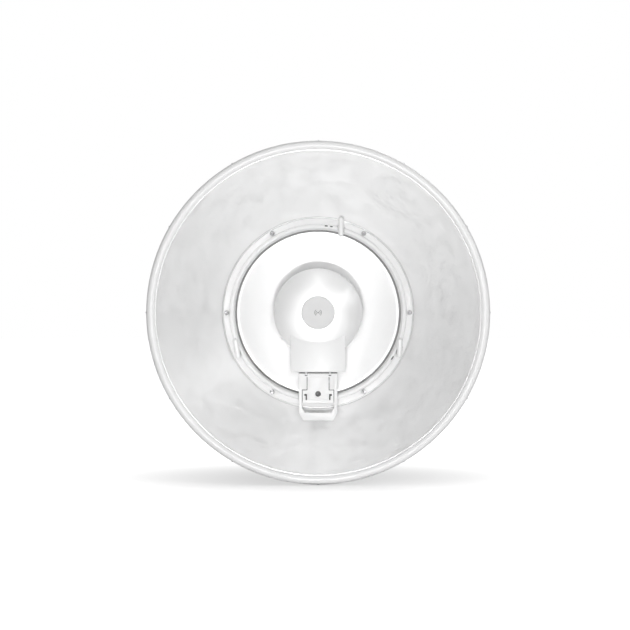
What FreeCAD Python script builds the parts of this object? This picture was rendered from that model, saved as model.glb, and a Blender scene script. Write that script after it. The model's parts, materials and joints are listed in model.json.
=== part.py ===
import FreeCAD, Part
import math
import os

from FreeCAD import Vector

# Outdoor wireless bridge: a small dish radio inside a conical isolator shroud, on a pole bracket.
# Millimetres, +Z up.  The antenna looks along -Y.  The origin is on the pole's axis, at the middle
# of the clamp.  "Forward" distances are measured from the dish rim's plane towards -Y.

# Pole clamp and bracket
POLE_R = 25.0
SADDLE_HALF_LENGTH = 30.0
SADDLE_HALF_WIDTH = 33.0
SADDLE_BACK_Y = -8.0
SADDLE_FRONT_Y = -38.0
SADDLE_CORNER_R = 10.0
POCKET_HALF_WIDTH = 18.0
POCKET_DEPTH = 8.0
POCKET_HIGH = 6.0
POCKET_EDGE = 3.0
POCKET_EAR_GAP = 2.0
STRAP_THICK = 0.8
STRAP_HALF_WIDTH = 6.0
STRAP_FRONT_Y = -32.0
STRAP_CORNER_R = 6.0
STRAP_TUNNEL_GAP = 0.4
STRAP_SLOT_HALF = 3.8
STRAP_SLOT_COUNT = 15
STRAP_SLOT_START = 4.0
STRAP_SLOT_STEP = 6.0
WORM_HOUSING_HALF = 10.0
WORM_HOUSING_HIGH = 8.0
WORM_HOUSING_CORNER_R = 3.0
WORM_R = 3.0
WORM_RISE = 4.0
WORM_HALF_LENGTH = 11.0
WORM_HEAD_ACROSS = 8.0
WORM_HEAD_LENGTH = 4.0
WORM_SLOT_WIDTH = 1.2
WORM_SLOT_DEPTH = 1.5
EAR_INNER_Z = 14.0
EAR_THICK = 5.0

# Two-axis aiming joint
AZIMUTH_Y = -50.0
ELEVATION_Y = -74.0
AZIMUTH_KNUCKLE_R = 11.0
ELEVATION_KNUCKLE_R = 10.0
SWIVEL_HALF_WIDTH = 7.0
HUB_EAR_THICK = 5.0
AXIAL_GAP = 0.1
BOLT_R = 4.0
RUNNING_GAP = 0.05
KNOB_R = 12.0
KNOB_LENGTH = 10.0
KNOB_LOBES = 6
KNOB_LOBE_R = 2.5
BOLT_HEAD_R = 6.5
BOLT_HEAD_LENGTH = 5.0

# Screws: shank radii, and the head's rounding and cross recess as shares of its size
SCREW_R = 2.0
SMALL_SCREW_R = 1.5
HEAD_ROUNDING = 0.4
DRIVE_DEPTH = 0.55
DRIVE_SLOT = 0.24
FOOT_SCREW_X = 8.0
FOOT_SCREW_Z = -76.0
GROUND_SCREW_Z = -50.0

# Reach of cuts that go right through, and the forward span of cuts through the port cover
THROUGH = 60.0
CUT_BACK = 30.0
CUT_FRONT = 60.0

# Hub behind the dish
HUB_R = 29.0
HUB_THICK = 6.0
HUB_BACK_Y = -90.0
HUB_RIB_COUNT = 10
HUB_RIB_INNER_R = 13.0
HUB_RIB_HIGH = 2.2
HUB_RIB_HALF = 1.1
GUSSET_HALF_FOOT = 24.0
GUSSET_HALF_TOP = 9.0
GUSSET_REACH = 9.0
HUB_SCREW_CIRCLE_R = 19.0
HUB_PLATE_R = 26.0
HUB_PLATE_THICK = 2.0
SPINE_HALF_WIDTH = 14.0
SPINE_BOTTOM_Z = -90.0
SPINE_THICK = 5.0

# Dish
DISH_R = 94.0
DISH_BOWL_R = 91.5
DISH_DEPTH = 33.0
DISH_SHEET = 1.5
DISH_FLAT_R = 30.0
DISH_BACK_R = 92.0

# Mounting ring and its screws
RING_OUTER_R = 109.5
RING_EDGE_CHAMFER = 0.6
RING_INNER_R = 96.2
RING_LEDGE_R = 92.4
RING_BACK = 2.4
RING_FRONT = 4.8
RING_LEDGE_BACK = -4.8
RING_GAP_FLOOR = -3.4
RING_GAP_R = 94.2
RING_COLLAR_R = 99.0
BEAD_OUTER_R = 102.6
BEAD_INNER_R = 97.2
BEAD_CREST = 7.4
RING_SCREW_CIRCLE_R = 106.2
RING_SCREW_COUNT = 6
NUT_HIGH = 2.4
NUT_ACROSS = 5.5

# Shroud and rim trim
SHROUD_BACK_R = 110.8
SHROUD_FRONT_R = 179.0
SHROUD_DEPTH = 127.0
SHROUD_BULGE = 6.0
SHROUD_SHEET = 2.0
SHROUD_INNER_FLANGE_R = 99.2
SHROUD_LIP_R = 187.5
RIM_INNER_R = 179.8
RIM_OUTER_R = 189.5
RIM_CREST = 132.6
TRIM_HOOK = 2.5
TRIM_EDGE_DROP = 0.8
CATCH_COUNT = 12
CATCH_WIDTH = 1.8
CATCH_THICK = 0.6
CATCH_REACH = 3.5
CATCH_FRONT = 1.4

# Turn clips that hold the dish in the ring
CLIP_LENGTH = 23.0
CLIP_WIDTH = 6.0
CLIP_THICK = 3.2
CLIP_ROUND = 2.3
CLIP_FRONT_SKIN = 1.0
CLIP_BACK = 7.8
CLIP_CIRCLE_R = 103.0
# name, place round the ring and turn of the clip's long side, degrees anticlockwise from +X
CLIPS = (("top", 75.0, 89.0), ("left", 204.0, 100.0), ("right", 336.5, 88.0))
# place round the ring and length round it, degrees, of the slots moulded into the bead
RING_SLOTS = ((84.6, 1.9), (81.2, 1.6), (328.6, 2.6))
RING_SLOT_WIDTH = 1.4
RING_SLOT_FLOOR = 3.4
RING_SLOT_R = 100.9
CLIP_POST_R = 1.8
CLIP_BOSS_R = 3.4

# Feed head
DOME_R = 50.7
DOME_BASE = 30.0
DOME_RISE = 24.0
DOME_SKIN = 2.0
DOME_SEAM = 26.6
BADGE_R = 18.7
BADGE_RECESS_R = 18.9
BADGE_FLOOR = 50.9
BADGE_THICK = 1.2
FEED_BACK = 12.0
FEED_BACK_R = 42.0
FEED_SEAM = 26.0
PATCH_HALF = 16.0
PATCH_BACK = 27.0
PATCH_FRONT = 27.6
FEED_BOARD_BACK = 34.0
FEED_BOARD_R = 44.0
STANDOFF_R = 1.5
STANDOFF_CIRCLE_R = 16.0
HEADER_HALF_WIDTH = 7.0
HEADER_BOTTOM_Z = -20.4
HEADER_TOP_Z = -18.2

# Arm below the feed head
ARM_HALF_WIDTH = 31.0
ARM_TOP_Z = -22.0
ARM_BOTTOM_Z = -68.0
ARM_BACK = 12.0
ARM_FRONT_MID = 48.0
ARM_FRONT_SIDE = 44.8
ARM_SPLIT = 32.0
ARM_SEAL = 0.8
WALL = 2.0
ARM_BOSS_R = 3.2
ARM_BOSS_FRONT = 42.5
ARM_SCREW_INSET = 5.0
ARM_BOTTOM_ROUND = 1.2
LIGHT_PIPE_R = 1.2
LIGHT_PIPE_FORWARD = 22.0
LIGHT_PIPE_LOW_Z = -56.0
LIGHT_PIPE_STEP = 4.5
LIGHT_PIPE_COUNT = 4

# Port bay, its cover and its release tongue
BAY_HALF_WIDTH = 22.0
BAY_BOTTOM_Z = -103.5
BAY_BACK = 8.0
BAY_FRONT = 39.2
BAY_NOTCH_BACK = 36.4
COVER_BACK = 39.6
COVER_FRONT = 42.9
COVER_BOTTOM_Z = -123.0
COVER_BAR_TOP_Z = -114.3
COVER_OPENING_HALF = 18.4
COVER_NECK_HALF = 12.9
COVER_SHOULDER_Z = -87.9
COVER_CHAMFER = 4.8
COVER_CHAMFER_HIGH = 9.0
COVER_INNER_CHAMFER = 3.4
STOP_INSET = 2.2
STOP_HALF = 1.4
STOP_RISE = 1.0
STOP_STEP = 0.6
COVER_INNER_CHAMFER_HIGH = 5.6
HINGE_Z = -70.2
HINGE_FORWARD = 41.4
HINGE_R = 1.8
HINGE_GAP = 0.3
HINGE_PIN_R = 0.9
HINGE_PIN_HALF = 19.0
HINGE_LUG_X = 13.6
HINGE_LUG_R = 1.6
TONGUE_TOP_Z = -74.0
TONGUE_BOTTOM_Z = -103.0
TONGUE_SLIT = 0.7
TONGUE_ROOT_R = 1.4
TONGUE_ROOT_GAP = 0.08
TONGUE_ROOT_FORWARD = COVER_FRONT - TONGUE_ROOT_R
TONGUE_HOLE_R = 3.2
TONGUE_HOLE_Z = -92.8
HOOK_OUTER_X = 15.7
HOOK_STEM_X = 13.4
HOOK_TOP_Z = -93.0
HOOK_HEAD_HIGH = 1.9
HOOK_WIDTH = 1.4
HOOK_BOTTOM_Z = -99.8

# Foot that carries the arm through the dish
FOOT_HALF_WIDTH = 16.0
FOOT_TOP_Z = -66.0
FOOT_BOTTOM_Z = -86.0
FOOT_WALL = 2.5
FOOT_GAP = 0.5

# Boards and connectors
BOARD_BACK = 14.0
BOARD_THICK = 1.6
BOARD_HALF_WIDTH = 18.0
BOARD_NECK_HALF = 8.0
PILLAR_X = 14.0
PILLAR_Z = -95.0
PILLAR_R = 2.0
CAN_HALF_WIDTH = 14.0
CAN_FRONT = 20.5
CAN_BOTTOM_Z = -60.0
CAN_TOP_Z = -30.0
CAN_SHEET = 0.4
JACK_HALF_WIDTH = 8.0
JACK_FRONT = 29.0
JACK_TOP_Z = -85.0
SOCKET_HALF_WIDTH = 5.9
SOCKET_BACK = 18.5
SOCKET_FRONT = 25.2
SOCKET_DEPTH = 12.0
KEY_HALF_WIDTH = 3.2
KEY_HIGH = 2.2
CONTACT_COUNT = 8
CONTACT_PITCH = 1.02
CONTACT_HALF = 0.2
CONTACT_THICK = 0.8
BAY_PLATE_BACK = 30.0
BAY_PLATE_THICK = 1.5
BUTTON_X = 13.0
BUTTON_Z = -79.0
BUTTON_R = 1.6
BUTTON_BACK = 19.8
BUTTON_FRONT = 33.0
BUTTON_COLLAR = 0.9
BUTTON_COLLAR_BACK = 27.5
BUTTON_COLLAR_FRONT = 29.0
SWITCH_HALF = 3.0
SWITCH_FRONT = 19.0

FLAT_FORWARD = -DISH_DEPTH * (1 - (DISH_FLAT_R / DISH_BOWL_R) ** 2)
HUB_FRONT = FLAT_FORWARD - DISH_SHEET
HUB_BACK = HUB_FRONT - HUB_THICK
RIM_Y = HUB_BACK_Y + HUB_BACK

X_AXIS = Vector(1, 0, 0)
Y_AXIS = Vector(0, 1, 0)
Z_AXIS = Vector(0, 0, 1)


def forward_y(forward):
    """Y of the plane that lies this far in front of the dish rim."""
    return RIM_Y - forward


def box(x_from, x_to, forward_from, forward_to, z_from, z_to):
    """Box between two X, two forward and two Z values."""
    corner = Vector(x_from, forward_y(forward_to), z_from)
    return Part.makeBox(x_to - x_from, forward_to - forward_from, z_to - z_from, corner)


def plain_box(x_from, x_to, y_from, y_to, z_from, z_to):
    """Box in the part's own axes."""
    corner = Vector(x_from, y_from, z_from)
    return Part.makeBox(x_to - x_from, y_to - y_from, z_to - z_from, corner)


def rod(radius, x, z, forward_from, forward_to):
    """Cylinder along the boresight."""
    start = Vector(x, forward_y(forward_to), z)
    return Part.makeCylinder(radius, forward_to - forward_from, start, Y_AXIS)


def cross_rod(radius, half_length, forward, z):
    """Cylinder from side to side, centred on X = 0."""
    start = Vector(-half_length, forward_y(forward), z)
    return Part.makeCylinder(radius, 2 * half_length, start, X_AXIS)


def sheet(outline, forward_from, forward_to):
    """Flat plate with an (x, z) outline between two forward planes."""
    points = [Vector(x, forward_y(forward_from), z) for x, z in outline]
    face = Part.Face(Part.makePolygon([*points, points[0]]))
    return face.extrude(Vector(0, forward_from - forward_to, 0))


def profile_point(radius, forward):
    return Vector(radius, forward_y(forward), 0)


def profile_lines(points):
    """Straight edges that join (radius, forward) points in turn."""
    places = [profile_point(radius, forward) for radius, forward in points]
    return [Part.makeLine(start, end) for start, end in zip(places, places[1:])]


def profile_arc(start, middle, end):
    places = [profile_point(radius, forward) for radius, forward in (start, middle, end)]
    return Part.Arc(*places).toShape()


def profile_ellipse(radius, rise, radius_from):
    """Quarter of the dome's ellipse, from its widest place in to radius_from."""
    ellipse = Part.Ellipse(profile_point(0, DOME_BASE), radius, rise)
    turn = math.acos(radius_from / radius)
    return Part.ArcOfEllipse(ellipse, -turn, 0.0).toShape()


def turned(edges):
    """Solid of revolution about the boresight."""
    wire = Part.Wire(Part.__sortEdges__(edges))
    return Part.Face(wire).revolve(Vector(0, 0, 0), Y_AXIS, 360)


def round_places(count, radius, start=0.0):
    """(x, z) places evenly spaced round the boresight."""
    places = []
    for index in range(count):
        angle = math.radians(start + 360.0 * index / count)
        places.append((radius * math.cos(angle), radius * math.sin(angle)))
    return places


def fused(shapes):
    first, *others = shapes
    return first.fuse(others).removeSplitter()


def hexagon(across_flats, length, start, axis):
    """Hexagonal prism whose middle line starts at a point and runs along an axis."""
    corner_r = across_flats / 2 / math.cos(math.radians(30))
    points = []
    for index in range(7):
        angle = math.radians(60 * index)
        points.append(Vector(corner_r * math.cos(angle), corner_r * math.sin(angle), 0))
    prism = Part.Face(Part.makePolygon(points)).extrude(Vector(0, 0, length))
    prism.Placement = FreeCAD.Placement(start, FreeCAD.Rotation(Z_AXIS, axis))
    return prism


def save(name, shape):
    shape.exportStep("parts/" + name + ".step")


# ---------------------------------------------------------------- pole clamp


def strap_loop(inner_r, front_y, half_height, corner_r):
    """Filled shape of the strap's path: round behind the pole, square through the saddle."""
    back = Part.makeCylinder(inner_r, 2 * half_height, Vector(0, 0, -half_height))
    front = plain_box(-inner_r, inner_r, front_y, 0, -half_height, half_height)
    corners = [e for e in front.Edges if abs(e.CenterOfMass.y - front_y) < 0.01
               and abs(e.CenterOfMass.z) < 0.01]
    front = front.makeFillet(corner_r, corners)
    return fused([back, front])


def strap():
    outer = strap_loop(POLE_R + STRAP_THICK, STRAP_FRONT_Y - STRAP_THICK, STRAP_HALF_WIDTH,
                       STRAP_CORNER_R + STRAP_THICK)
    inner = strap_loop(POLE_R, STRAP_FRONT_Y, STRAP_HALF_WIDTH + 1, STRAP_CORNER_R)
    slots = []
    for index in range(STRAP_SLOT_COUNT):
        slot = plain_box(POLE_R - 1, POLE_R + 2, -0.5, 0.5, -STRAP_SLOT_HALF, STRAP_SLOT_HALF)
        slot.rotate(Vector(0, 0, 0), Z_AXIS, STRAP_SLOT_START + STRAP_SLOT_STEP * index)
        slots.append(slot)
    return outer.cut([inner, *slots])


def strap_tunnel():
    half_height = STRAP_HALF_WIDTH + STRAP_TUNNEL_GAP
    outer = strap_loop(POLE_R + STRAP_THICK + STRAP_TUNNEL_GAP,
                       STRAP_FRONT_Y - STRAP_THICK - STRAP_TUNNEL_GAP, half_height,
                       STRAP_CORNER_R + STRAP_THICK + STRAP_TUNNEL_GAP)
    inner = strap_loop(POLE_R - STRAP_TUNNEL_GAP, STRAP_FRONT_Y + STRAP_TUNNEL_GAP,
                       half_height + 1, STRAP_CORNER_R - STRAP_TUNNEL_GAP)
    return outer.cut(inner)


def pole_bracket():
    block = plain_box(-SADDLE_HALF_WIDTH, SADDLE_HALF_WIDTH, SADDLE_FRONT_Y, SADDLE_BACK_Y,
                      -SADDLE_HALF_LENGTH, SADDLE_HALF_LENGTH)
    front_corners = [e for e in block.Edges if abs(e.CenterOfMass.y - SADDLE_FRONT_Y) < 0.01
                     and abs(e.CenterOfMass.z) < 0.01]
    block = block.makeFillet(SADDLE_CORNER_R, front_corners)
    pieces = [block]
    for z_from in (EAR_INNER_Z, -EAR_INNER_Z - EAR_THICK):
        plate = plain_box(-AZIMUTH_KNUCKLE_R, AZIMUTH_KNUCKLE_R, AZIMUTH_Y, SADDLE_FRONT_Y + 1,
                          z_from, z_from + EAR_THICK)
        end = Part.makeCylinder(AZIMUTH_KNUCKLE_R, EAR_THICK, Vector(0, AZIMUTH_Y, z_from))
        pieces.extend((plate, end))
    bracket = fused(pieces)
    pole = Part.makeCylinder(POLE_R, 4 * SADDLE_HALF_LENGTH, Vector(0, 0, -2 * SADDLE_HALF_LENGTH))
    bolt_hole = Part.makeCylinder(BOLT_R + RUNNING_GAP, 2 * THROUGH, Vector(0, AZIMUTH_Y, -THROUGH))
    # weight-saving pockets in the saddle's front, above and below the ears
    pockets = []
    for z_from in (-SADDLE_HALF_LENGTH + POCKET_EDGE, EAR_INNER_Z + EAR_THICK + POCKET_EAR_GAP):
        pockets.append(plain_box(-POCKET_HALF_WIDTH, POCKET_HALF_WIDTH, SADDLE_FRONT_Y - 1,
                                 SADDLE_FRONT_Y + POCKET_DEPTH, z_from, z_from + POCKET_HIGH))
    return bracket.cut([pole, bolt_hole, strap_tunnel(), *pockets])


def strap_screw_housing():
    """Worm housing on the strap's back, with the screw's bore along X."""
    back_y = POLE_R + STRAP_THICK
    far_y = back_y + WORM_HOUSING_HIGH
    shell = plain_box(-WORM_HOUSING_HALF, WORM_HOUSING_HALF, back_y - 2, far_y,
                      -STRAP_HALF_WIDTH - 1, STRAP_HALF_WIDTH + 1)
    edges = [e for e in shell.Edges if abs(e.CenterOfMass.y - far_y) < 0.01
             and abs(e.CenterOfMass.x) < 0.01]
    shell = shell.makeFillet(WORM_HOUSING_CORNER_R, edges)
    path = Part.makeCylinder(back_y, 2 * THROUGH, Vector(0, 0, -THROUGH))
    screw_start = Vector(-THROUGH, back_y + WORM_RISE, 0)
    screw_hole = Part.makeCylinder(WORM_R + RUNNING_GAP, 2 * THROUGH, screw_start, X_AXIS)
    return shell.cut([path, screw_hole])


def strap_screw():
    centre_y = POLE_R + STRAP_THICK + WORM_RISE
    thread = Part.makeCylinder(WORM_R, 2 * WORM_HALF_LENGTH, Vector(-WORM_HALF_LENGTH, centre_y, 0),
                               X_AXIS)
    head = hexagon(WORM_HEAD_ACROSS, WORM_HEAD_LENGTH, Vector(WORM_HALF_LENGTH, centre_y, 0), X_AXIS)
    head_end = WORM_HALF_LENGTH + WORM_HEAD_LENGTH
    slot = plain_box(head_end - WORM_SLOT_DEPTH, head_end + 1, centre_y - WORM_SLOT_WIDTH / 2,
                     centre_y + WORM_SLOT_WIDTH / 2, -WORM_HEAD_ACROSS, WORM_HEAD_ACROSS)
    return fused([thread, head]).cut(slot)


# ---------------------------------------------------------------- aiming joint


def elevation_bore():
    """Running hole for the elevation bolt, right across the part."""
    start = Vector(-THROUGH, ELEVATION_Y, 0)
    return Part.makeCylinder(BOLT_R + RUNNING_GAP, 2 * THROUGH, start, X_AXIS)


def swivel_block():
    height = 2 * (EAR_INNER_Z - AXIAL_GAP)
    barrel = Part.makeCylinder(AZIMUTH_KNUCKLE_R, height, Vector(0, AZIMUTH_Y, -height / 2))
    tongue = plain_box(-SWIVEL_HALF_WIDTH, SWIVEL_HALF_WIDTH, ELEVATION_Y, AZIMUTH_Y,
                       -ELEVATION_KNUCKLE_R, ELEVATION_KNUCKLE_R)
    end = Part.makeCylinder(ELEVATION_KNUCKLE_R, 2 * SWIVEL_HALF_WIDTH,
                            Vector(-SWIVEL_HALF_WIDTH, ELEVATION_Y, 0), X_AXIS)
    azimuth_hole = Part.makeCylinder(BOLT_R + RUNNING_GAP, 2 * THROUGH,
                                     Vector(0, AZIMUTH_Y, -THROUGH))
    return fused([barrel, tongue, end]).cut([azimuth_hole, elevation_bore()])


def bolt(start, axis, grip):
    """Hexagon bolt: the head behind the start, the plain shank along the axis."""
    shank = Part.makeCylinder(BOLT_R, grip + KNOB_LENGTH, start, axis)
    head = hexagon(2 * BOLT_HEAD_R, BOLT_HEAD_LENGTH, start - axis * BOLT_HEAD_LENGTH, axis)
    return fused([head, shank])


def knob(start, axis):
    """Lobed hand nut with a running bore, its inner face at the start."""
    body = Part.makeCylinder(KNOB_R - 2, KNOB_LENGTH, start, axis)
    side = axis.cross(Z_AXIS if abs(axis.z) < 0.5 else X_AXIS)
    lobes = []
    for index in range(KNOB_LOBES):
        turn = FreeCAD.Rotation(axis, 360.0 * index / KNOB_LOBES)
        centre = start + turn.multVec(side * (KNOB_R - KNOB_LOBE_R))
        lobes.append(Part.makeCylinder(KNOB_LOBE_R, KNOB_LENGTH, centre, axis))
    bore = Part.makeCylinder(BOLT_R + RUNNING_GAP, 3 * KNOB_LENGTH, start - axis * KNOB_LENGTH, axis)
    return fused([body, *lobes]).cut(bore)


EAR_OUTER_Z = EAR_INNER_Z + EAR_THICK
HUB_EAR_INNER_X = SWIVEL_HALF_WIDTH + AXIAL_GAP
HUB_EAR_OUTER_X = HUB_EAR_INNER_X + HUB_EAR_THICK


# ---------------------------------------------------------------- hub


def hub_screw_places():
    return round_places(4, HUB_SCREW_CIRCLE_R, 45)


def rear_hub():
    pieces = [rod(HUB_R, 0, 0, HUB_BACK, HUB_FRONT)]
    pieces.append(box(-SPINE_HALF_WIDTH, SPINE_HALF_WIDTH, HUB_BACK, HUB_BACK + SPINE_THICK,
                      SPINE_BOTTOM_Z, 0))
    for x_from in (HUB_EAR_INNER_X, -HUB_EAR_OUTER_X):
        pieces.append(plain_box(x_from, x_from + HUB_EAR_THICK, HUB_BACK_Y - 1, ELEVATION_Y,
                                -ELEVATION_KNUCKLE_R, ELEVATION_KNUCKLE_R))
        pieces.append(Part.makeCylinder(ELEVATION_KNUCKLE_R, HUB_EAR_THICK,
                                        Vector(x_from, ELEVATION_Y, 0), X_AXIS))
    # radial ribs on the disc's back
    for index in range(HUB_RIB_COUNT):
        rib = box(HUB_RIB_INNER_R, HUB_R - 2, HUB_BACK - HUB_RIB_HIGH, HUB_BACK + 1,
                  -HUB_RIB_HALF, HUB_RIB_HALF)
        rib.rotate(Vector(0, 0, 0), Y_AXIS, 360.0 * (index + 0.5) / HUB_RIB_COUNT)
        pieces.append(rib)
    # gussets that stiffen the ears above and below
    for x_from in (HUB_EAR_INNER_X + 1, -HUB_EAR_OUTER_X + 1):
        profile = [Vector(x_from, HUB_BACK_Y, GUSSET_HALF_FOOT),
                   Vector(x_from, HUB_BACK_Y + GUSSET_REACH, GUSSET_HALF_TOP),
                   Vector(x_from, HUB_BACK_Y + GUSSET_REACH, -GUSSET_HALF_TOP),
                   Vector(x_from, HUB_BACK_Y, -GUSSET_HALF_FOOT)]
        web = Part.Face(Part.makePolygon([*profile, profile[0]]))
        pieces.append(web.extrude(Vector(HUB_EAR_THICK - 2, 0, 0)))
    cuts = [elevation_bore()]
    for x, z in hub_screw_places():
        cuts.append(rod(SCREW_R + RUNNING_GAP, x, z, HUB_FRONT - 5, HUB_FRONT + 1))
    for x in (-FOOT_SCREW_X, FOOT_SCREW_X):
        cuts.append(rod(SCREW_R + RUNNING_GAP, x, FOOT_SCREW_Z, HUB_BACK - 1, HUB_FRONT + 5))
    cuts.append(rod(SCREW_R + RUNNING_GAP, 0, GROUND_SCREW_Z, HUB_BACK - 1, HUB_BACK + 4))
    return fused(pieces).cut(cuts)


def hub_plate():
    plate = rod(HUB_PLATE_R, 0, 0, FLAT_FORWARD, FLAT_FORWARD + HUB_PLATE_THICK)
    holes = [rod(SCREW_R + RUNNING_GAP, x, z, FLAT_FORWARD - 1, FLAT_FORWARD + 5)
             for x, z in hub_screw_places()]
    return plate.cut(holes)


def screw(x, z, seat, tip, shank_r, head_r, head_high, drive_r):
    """Cross-head screw along the boresight: the head lies outside its seat, the shank runs to tip."""
    outwards = 1 if seat > tip else -1
    shank = rod(shank_r, x, z, min(seat, tip), max(seat, tip))
    top = seat + outwards * head_high
    head = rod(head_r, x, z, min(seat, top), max(seat, top))
    far_edge = [e for e in head.Edges if abs(e.CenterOfMass.y - forward_y(top)) < 0.01]
    head = head.makeFillet(head_high * HEAD_ROUNDING, far_edge)
    recess = sorted((top, top - outwards * head_high * DRIVE_DEPTH))
    slot_half = drive_r * DRIVE_SLOT
    cross = [box(x - drive_r, x + drive_r, *recess, z - slot_half, z + slot_half),
             box(x - slot_half, x + slot_half, *recess, z - drive_r, z + drive_r)]
    return fused([head, shank]).cut(cross)


def hub_screws():
    seat = FLAT_FORWARD + HUB_PLATE_THICK
    return Part.makeCompound([screw(x, z, seat, HUB_FRONT - 4.8, SCREW_R, 3.6, 2.6, 2.0)
                              for x, z in hub_screw_places()])


def foot_screws():
    tip = HUB_BACK + SPINE_THICK + 5
    return Part.makeCompound([screw(x, FOOT_SCREW_Z, HUB_BACK, tip, SCREW_R, 3.8, 2.8, 2.1)
                              for x in (-FOOT_SCREW_X, FOOT_SCREW_X)])


# ---------------------------------------------------------------- dish, ring, shroud


def bowl_curve(depth_back, edge_r, edge_forward, inner_r):
    """Parabola from inner_r out to the bowl's edge."""
    steps = 8
    points = []
    for index in range(steps + 1):
        radius = inner_r + (edge_r - inner_r) * index / steps
        rise = (depth_back + edge_forward) * (radius / edge_r) ** 2
        points.append(profile_point(radius, rise - depth_back))
    curve = Part.BSplineCurve()
    curve.interpolate(points)
    return curve.toShape()


def dish_reflector():
    back_depth = DISH_DEPTH + DISH_SHEET
    back_flat = FLAT_FORWARD - DISH_SHEET
    back_rise = back_depth - DISH_SHEET
    back_flat_r = DISH_BACK_R * math.sqrt((back_flat + back_depth) / back_rise)
    edges = [bowl_curve(DISH_DEPTH, DISH_BOWL_R, 0.0, DISH_FLAT_R)]
    edges.append(bowl_curve(back_depth, DISH_BACK_R, -DISH_SHEET, back_flat_r))
    edges += profile_lines([(DISH_BOWL_R, 0), (DISH_R, 0), (DISH_R, -DISH_SHEET),
                            (DISH_BACK_R, -DISH_SHEET)])
    edges += profile_lines([(DISH_FLAT_R, FLAT_FORWARD), (0, FLAT_FORWARD), (0, back_flat),
                            (back_flat_r, back_flat)])
    bowl = turned(edges)
    window = box(-FOOT_HALF_WIDTH - FOOT_GAP, FOOT_HALF_WIDTH + FOOT_GAP, -DISH_DEPTH, 4,
                 FOOT_BOTTOM_Z - FOOT_GAP, FOOT_TOP_Z + FOOT_GAP)
    holes = [rod(SCREW_R + RUNNING_GAP, x, z, -THROUGH, 0) for x, z in hub_screw_places()]
    return bowl.cut([window, *holes])


def ring_screw_places():
    return round_places(RING_SCREW_COUNT, RING_SCREW_CIRCLE_R)


def clip_centre(place):
    angle = math.radians(place)
    return CLIP_CIRCLE_R * math.cos(angle), CLIP_CIRCLE_R * math.sin(angle)


def mounting_ring():
    bead_middle = ((BEAD_OUTER_R + BEAD_INNER_R) / 2, BEAD_CREST)
    edges = [profile_arc((BEAD_OUTER_R, RING_FRONT), bead_middle, (BEAD_INNER_R, RING_FRONT - 1))]
    edges += profile_lines([(BEAD_INNER_R, RING_FRONT - 1), (RING_INNER_R, RING_BACK),
                            (RING_INNER_R, RING_GAP_FLOOR), (RING_GAP_R, RING_GAP_FLOOR),
                            (RING_GAP_R, -DISH_SHEET), (RING_LEDGE_R, -DISH_SHEET),
                            (RING_LEDGE_R, RING_LEDGE_BACK), (RING_COLLAR_R, RING_LEDGE_BACK),
                            (RING_COLLAR_R, RING_BACK), (RING_OUTER_R, RING_BACK),
                            (RING_OUTER_R, RING_FRONT - RING_EDGE_CHAMFER),
                            (RING_OUTER_R - RING_EDGE_CHAMFER, RING_FRONT),
                            (BEAD_OUTER_R, RING_FRONT)])
    ring = turned(edges)
    bosses = []
    holes = []
    for _, place, _ in CLIPS:
        x, z = clip_centre(place)
        bosses.append(rod(CLIP_BOSS_R, x, z, RING_FRONT - 1, CLIP_BACK - AXIAL_GAP))
        holes.append(rod(CLIP_POST_R, x, z, RING_BACK + 1, CLIP_BACK + 1))
    holes += [rod(SMALL_SCREW_R + RUNNING_GAP, x, z, -10, 10) for x, z in ring_screw_places()]
    for place, long_degrees in RING_SLOTS:
        half_long = RING_SLOT_R * math.radians(long_degrees) / 2
        slot = box(RING_SLOT_R - RING_SLOT_WIDTH / 2, RING_SLOT_R + RING_SLOT_WIDTH / 2,
                   RING_SLOT_FLOOR, BEAD_CREST + 1, -half_long, half_long)
        slot.rotate(Vector(0, 0, 0), Y_AXIS, -place)
        holes.append(slot)
    return fused([ring, *bosses]).cut(holes)


def ring_screws():
    return Part.makeCompound([screw(x, z, RING_FRONT, -4.0, SMALL_SCREW_R, 2.4, 1.4, 1.5)
                              for x, z in ring_screw_places()])


def ring_nuts():
    nuts = []
    for x, z in ring_screw_places():
        start = Vector(x, forward_y(RING_BACK - SHROUD_SHEET - NUT_HIGH), z)
        nut = hexagon(NUT_ACROSS, NUT_HIGH, start, -Y_AXIS)
        nuts.append(nut.cut(rod(SMALL_SCREW_R + RUNNING_GAP, x, z, -10, 10)))
    return Part.makeCompound(nuts)


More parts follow.
